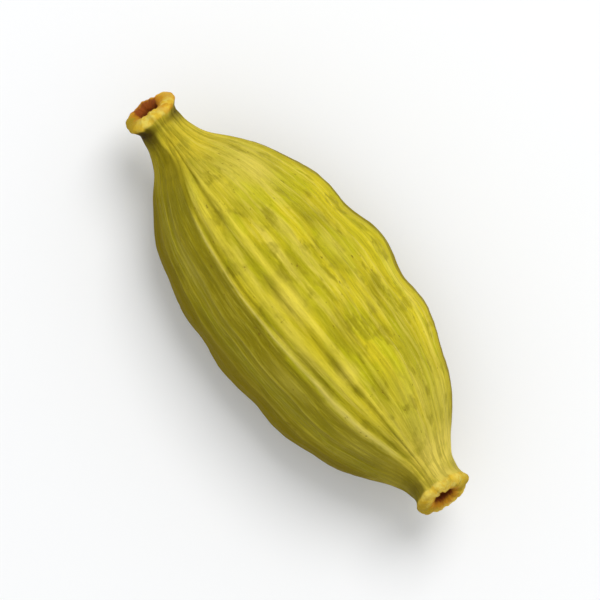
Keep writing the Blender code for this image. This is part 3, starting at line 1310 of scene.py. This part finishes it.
@dataclass(frozen=True)
class HuskFinish:
    """Dried cardamom husk.

    Streaked yellow-green skin, pale ribs, tan necks, orange-tan collars and dark mouths. Each colour is
    named for the place or the tone that it paints. Some are painted shade: the shaded -Y flank, the
    underside, the creases behind the collars, the lips' low side and the floors of the mouths; the pale
    ends are partly painted light on the lit side. The patterns, from mottling to pores, break them up.

    Attributes:
        roughness: How rough the skin is, by its grain.
        specular: How much the skin shines.
        pore_height: Height of the pores against the grain.
        bump_distance: Height of the grain.
    """

    olive: Colour = (0.510, 0.450, 0.011, 1.0)
    yellow: Colour = (0.710, 0.585, 0.018, 1.0)
    lime: Colour = (0.590, 0.560, 0.008, 1.0)
    straw: Colour = (0.830, 0.680, 0.105, 1.0)
    crest: Colour = (0.850, 0.715, 0.078, 1.0)
    midrib: Colour = (0.805, 0.665, 0.064, 1.0)
    third_line: Colour = (0.700, 0.585, 0.115, 1.0)
    groove: Colour = (0.225, 0.186, 0.004, 1.0)
    dull: Colour = (0.270, 0.225, 0.006, 1.0)
    # Painted shade: dark olive of the shaded -Y flank.
    flank_shade: Colour = (0.212, 0.168, 0.001, 1.0)
    neck: Colour = (0.760, 0.590, 0.034, 1.0)
    pale_neck: Colour = (0.960, 0.765, 0.130, 1.0)
    lip: Colour = (0.930, 0.625, 0.050, 1.0)
    lip_shine: Colour = (0.960, 0.760, 0.135, 1.0)
    # Brown of the short collar's sides, and painted shade on the low -Y side of both lips.
    lip_side: Colour = (0.500, 0.330, 0.010, 1.0)
    lip_edge: Colour = (0.700, 0.300, 0.013, 1.0)
    mouth: Colour = (0.360, 0.085, 0.012, 1.0)
    # Painted shade: dark of the hollows' floors.
    mouth_floor_shade: Colour = (0.110, 0.026, 0.006, 1.0)
    # Painted shade: near-black of the crease behind each collar.
    crease: Colour = (0.045, 0.021, 0.002, 1.0)
    # Painted shade: brown-green of the underside.
    underside_shade: Colour = (0.200, 0.146, 0.001, 1.0)
    speck: Colour = (0.190, 0.120, 0.008, 1.0)
    mottling: Pattern = Pattern(0.30, 0.65, 3.0, 0.55)
    patches: Pattern = Pattern(0.45, 0.75, 2.0, 0.5, scale=1.3)
    blotches: Pattern = Pattern(0.85, 1.30, 3.0, 0.6)
    broad: Pattern = Pattern(0.20, 2.0, 4.0, 0.6)
    threads: Pattern = Pattern(0.50, 6.0, 4.0, 0.65)
    fibres: Pattern = Pattern(1.1, 17.0, 3.0, 0.6)
    specks: Pattern = Pattern(3.0, 4.2, 3.0, 0.6)
    streaks: Pattern = Pattern(0.5, 1.9, 4.0, 0.65)
    grain: Pattern = Pattern(1.1, 12.0, 4.0, 0.65)
    stains: Pattern = Pattern(1.0, 1.0, 3.0, 0.55, scale=1.5, place=SkinLayer.TRUE_PLACE)
    lip_grain: Pattern = Pattern(1.0, 1.0, 3.0, 0.6, scale=7.0, place=SkinLayer.TRUE_PLACE)
    rays: Pattern = Pattern(0.8, 3.4, 3.0, 0.6, place=SkinLayer.TRUE_PLACE)
    pores: Pattern = Pattern(1.0, 1.0, 4.0, 0.65, scale=9.0, place=SkinLayer.TRUE_PLACE)
    roughness: Span = (0.78, 0.56)
    specular: float = 0.06
    pore_height: float = 0.6
    bump_distance: float = 0.085 * MM

    def husk_coats(self) -> list[Coat]:
        """The husk's coats, each laid over those before it.

        Returns:
            The coats.
        """
        threads, fibres = self.threads, self.fibres
        return [
            (self.yellow, Ramp(self.mottling, (0.40, 0.60))),
            (self.lime, Ramp(self.patches, (0.50, 0.64), (0.0, 0.68))),
            (self.straw, Ramp(self.broad, (0.48, 0.66), (0.0, 0.70))),
            # Paler straw toward the ends, partly painted light on the lit side.
            (self.straw, SkinLayer.PALE_LIT_SHOULDER, Ramp(self.mottling, (0.3, 0.7), (0.62, 0.28))),
            # Painted shade over the shaded -Y flank.
            (self.flank_shade, SkinLayer.FLANK_SHADE, 0.86),
            (self.dull, Ramp(self.blotches, (0.34, 0.48), (0.60, 0.0))),
            (self.groove, Ramp(self.broad, (0.34, 0.48), (0.30, 0.0))),
            (self.groove, Ramp(SkinLayer.BULGE, (0.0, 0.35), (0.20, 0.0))),
            (self.dull, SkinLayer.DENT, Ramp(threads, (0.3, 0.7), (0.85, 0.45))),
            (self.straw, SkinLayer.RISE, 0.9),
            (self.crest, Ramp(SkinLayer.RIB, (0.12, 0.80), (0.0, 0.30))),
            (self.groove, Ramp(threads, (0.38, 0.50), (0.18, 0.0))),
            (self.crest, Ramp(threads, (0.54, 0.68), (0.0, 0.23))),
            (self.groove, Ramp(fibres, (0.36, 0.52), (0.15, 0.0))),
            (self.crest, Ramp(fibres, (0.54, 0.70), (0.0, 0.17))),
            (self.midrib, SkinLayer.MIDRIB, Ramp(threads, (0.36, 0.58), (0.42, 0.88))),
            (self.third_line, SkinLayer.THIRD_LINE, Ramp(threads, (0.34, 0.56), (0.50, 0.95))),
            (self.groove, SkinLayer.GROOVE, Ramp(threads, (0.36, 0.62), (0.74, 0.36))),
            (self.speck, Ramp(self.specks, (0.67, 0.74), (0.0, 0.75))),
            # Painted shade over the underside.
            (self.underside_shade, SkinLayer.UNDERSIDE_SHADE, 0.85),
        ]

    def neck_coats(self, board: NodeBoard) -> list[Coat]:
        """The coats of the two necks, over the husk's.

        Args:
            board: The material's nodes.

        Returns:
            The coats.
        """
        # Pale tan of the short neck, partly painted light on its lit side.
        tan = board.blend(self.neck, self.pale_neck, SkinLayer.PALE_LIT_END)
        on_neck = Ramp(SkinLayer.BELLY, (0.26, 0.62), (0.85, 0.0))
        near_neck = Ramp(SkinLayer.BELLY, (0.30, 0.75), (1.0, 0.0))
        return [
            (tan, on_neck, Ramp(self.stains, (0.30, 0.55), (0.4, 1.0))),
            (self.groove, near_neck, Ramp(self.streaks, (0.40, 0.52), (0.40, 0.0))),
            (self.straw, near_neck, Ramp(self.streaks, (0.54, 0.68), (0.0, 0.50))),
            # Painted shade over the shaded -Y flank of the necks.
            (self.flank_shade, near_neck, SkinLayer.FLANK_SHADE, 0.75),
            (self.groove, near_neck, SkinLayer.GROOVE),
            # Painted shade in the crease behind each collar, varied by the stains.
            (self.crease, SkinLayer.CREASE, Ramp(self.stains, (0.3, 0.6), (0.6, 1.0))),
        ]

    def collar_coats(self, board: NodeBoard) -> list[Coat]:
        """The coats of the two collars and their mouths, over the necks'.

        Args:
            board: The material's nodes.

        Returns:
            The coats.
        """
        # The lips' sides turn orange-brown, brown on the short collar; on their low -Y side the brown is
        # painted shade.
        side = board.blend(self.lip_edge, self.lip_side, SkinLayer.PALE_LIT_END)
        side = board.blend(side, self.lip_side, SkinLayer.LOW_SIDE_SHADE)
        stained = board.reckon("ADD", SkinLayer.LIP_SIDE, Ramp(self.stains, (0.42, 0.62), (-0.25, 0.45)))
        lip = self.coated(board, self.lip, [
            (self.lip_shine, Ramp(self.rays, (0.42, 0.60))),
            (self.lip_edge, Ramp(self.lip_grain, (0.36, 0.50), (0.20, 0.0))),
            (side, Ramp(stained, (0.25, 1.0), (0.0, 0.85))),
            # Painted shade: the low -Y side of each lip darkened to brown.
            (self.lip_side, SkinLayer.LOW_SIDE_SHADE, 0.80),
        ])
        frayed = Ramp(self.rays, (0.3, 0.7), (-0.06, 0.06))
        on_far_side = Ramp(SkinLayer.FAR_SIDE, (0.45, 1.0), (0.0, 0.26))
        into_mouth = board.reckon("ADD", SkinLayer.LIP_TURN, frayed, on_far_side)
        return [
            (lip, SkinLayer.COLLAR),
            (self.lip_edge, Ramp(into_mouth, (0.50, 0.74), (0.0, 0.95))),
            (self.mouth, Ramp(into_mouth, (0.72, 0.90))),
            # Painted shade, darker deeper into each hollow.
            (self.mouth_floor_shade, Ramp(SkinLayer.HOLLOW, (0.0, 0.70))),
        ]

    def coated(self, board: NodeBoard, colour: object, coats: list[Coat]) -> object:
        """Lays coats over a colour.

        Args:
            board: The material's nodes.
            colour: The lowest colour.
            coats: The coats, from the lowest up.

        Returns:
            The colour that shows.
        """
        for over, *factors in coats:
            colour = board.blend(colour, over, *factors)
        return colour

    def material(self) -> bpy.types.Material:
        """Makes the finish.

        Returns:
            The material.
        """
        board = NodeBoard("cardamom_husk")
        coats = self.husk_coats() + self.neck_coats(board) + self.collar_coats(board)
        board.plug(self.coated(board, self.olive, coats), board.surface.inputs["Base Color"])
        roughness = board.ramp(Ramp(self.grain, (0.3, 0.7), self.roughness))
        board.plug(roughness, board.surface.inputs["Roughness"])
        board.surface.inputs["Metallic"].default_value = 0.0
        board.surface.inputs["Specular IOR Level"].default_value = self.specular
        pores = board.reckon("MULTIPLY", self.pores, self.pore_height)
        bump = board.node("ShaderNodeBump")
        bump.inputs["Strength"].default_value = 1.0
        bump.inputs["Distance"].default_value = self.bump_distance
        board.plug(board.reckon("ADD", self.grain, pores), bump.inputs["Height"])
        board.plug(bump.outputs["Normal"], board.surface.inputs["Normal"])
        return board.material


@dataclass(frozen=True)
class FloorFinish:
    """Matt white table.

    Attributes:
        colour: Its colour.
        roughness: How matt it is.
        specular: How much it shines.
    """

    colour: Colour = (0.90, 0.90, 0.90, 1.0)
    roughness: float = 0.85
    specular: float = 0.1

    def material(self) -> bpy.types.Material:
        """Makes the finish.

        Returns:
            The material.
        """
        board = NodeBoard("matt_white_table")
        board.surface.inputs["Base Color"].default_value = self.colour
        board.surface.inputs["Roughness"].default_value = self.roughness
        board.surface.inputs["Specular IOR Level"].default_value = self.specular
        return board.material


@dataclass(frozen=True)
class Studio:
    """The pale floor, the soft light and the camera that looks straight down.

    Attributes:
        floor_side: Side of the floor.
        axis_turn: How far the pod's axis is turned clockwise from level in the picture.
        frame_width: Width of what the camera sees, on the floor.
        camera_height: Height of the camera over the floor.
        sensor_width: Width of the camera's sensor, in millimetres.
        key_power: Power of the key light, in watts.
        key_size: Diameter of the key light.
        key_distance: Distance of the key light from the pod.
        key_elevation: Height of the key light over the horizon.
        key_azimuth: Direction of the key light, from +X toward +Y.
        sky: Strength of the even light from all round.
        sky_colour: Its colour.
    """

    floor_side: float = 1.2
    axis_turn: float = math.radians(52.09)
    frame_width: float = 24.5 * MM
    camera_height: float = 0.50
    sensor_width: float = 36.0
    key_power: float = 1.06
    key_size: float = 0.26
    key_distance: float = 0.45
    key_elevation: float = math.radians(58.5)
    key_azimuth: float = math.radians(116.0)
    sky: float = 0.71
    sky_colour: Colour = (0.97, 0.985, 1.0, 1.0)

    def floor(self) -> None:
        """Lays the floor on z = 0."""
        half = self.floor_side / 2.0
        mesh = bpy.data.meshes.new("pale_floor")
        corners = [(-half, -half, 0.0), (half, -half, 0.0), (half, half, 0.0), (-half, half, 0.0)]
        mesh.from_pydata(corners, [], [(0, 1, 2, 3)])
        mesh.materials.append(FloorFinish().material())
        floor = bpy.data.objects.new("pale_floor", mesh)
        bpy.context.scene.collection.objects.link(floor)
        floor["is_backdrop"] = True

    def key_light(self, target: Vector) -> None:
        """Sets up the soft light from the upper right.

        Args:
            target: What it looks at.
        """
        lamp = bpy.data.lights.new("key_light", "AREA")
        lamp.shape = "DISK"
        lamp.size = self.key_size
        lamp.energy = self.key_power
        key = bpy.data.objects.new("key_light", lamp)
        flat = self.key_distance * math.cos(self.key_elevation)
        up = self.key_distance * math.sin(self.key_elevation)
        reach = Vector((flat * math.cos(self.key_azimuth), flat * math.sin(self.key_azimuth), up))
        key.location = target + reach
        key.rotation_euler = (target - key.location).to_track_quat("-Z", "Y").to_euler()
        bpy.context.scene.collection.objects.link(key)

    def even_light(self) -> None:
        """Sets up the even light from all round."""
        world = bpy.data.worlds.new("even_light")
        world.use_nodes = True
        background = world.node_tree.nodes["Background"]
        background.inputs["Color"].default_value = self.sky_colour
        background.inputs["Strength"].default_value = self.sky
        bpy.context.scene.world = world

    def camera(self, target: Vector) -> None:
        """Sets up the camera over the pod, turned so that the pod lies as in the picture.

        Args:
            target: The middle of the picture.
        """
        lens = bpy.data.cameras.new("camera")
        lens.sensor_width = self.sensor_width
        lens.lens = self.sensor_width * self.camera_height / self.frame_width
        lens.dof.use_dof = False
        camera = bpy.data.objects.new("camera", lens)
        camera.location = (target.x, target.y, self.camera_height)
        camera.rotation_euler = (0.0, 0.0, self.axis_turn)
        bpy.context.scene.collection.objects.link(camera)
        bpy.context.scene.camera = camera

    def build(self, low: Vector, high: Vector) -> None:
        """Builds the studio round the pod.

        Args:
            low: Lowest corner of the pod's box.
            high: Highest corner of the pod's box.
        """
        middle = (low + high) / 2.0
        self.floor()
        self.key_light(middle)
        self.even_light()
        self.camera(middle)
        bpy.context.scene.view_settings.view_transform = "Standard"


def main() -> None:
    """Builds the pod's skin and the studio, and reports each piece."""
    logging.basicConfig(level=logging.INFO, format="%(name)s: %(message)s")
    cad_low, cad_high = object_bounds()

    pod = PodSkin()
    skin = pod.build()
    pod.dress(skin, HuskFinish().material())
    log.info("skin: %d points, %d faces", len(skin.data.vertices), len(skin.data.polygons))

    Studio().build(cad_low, cad_high)
    log.info("studio: floor, key light, even light and camera")


if __name__ == "__main__":
    main()
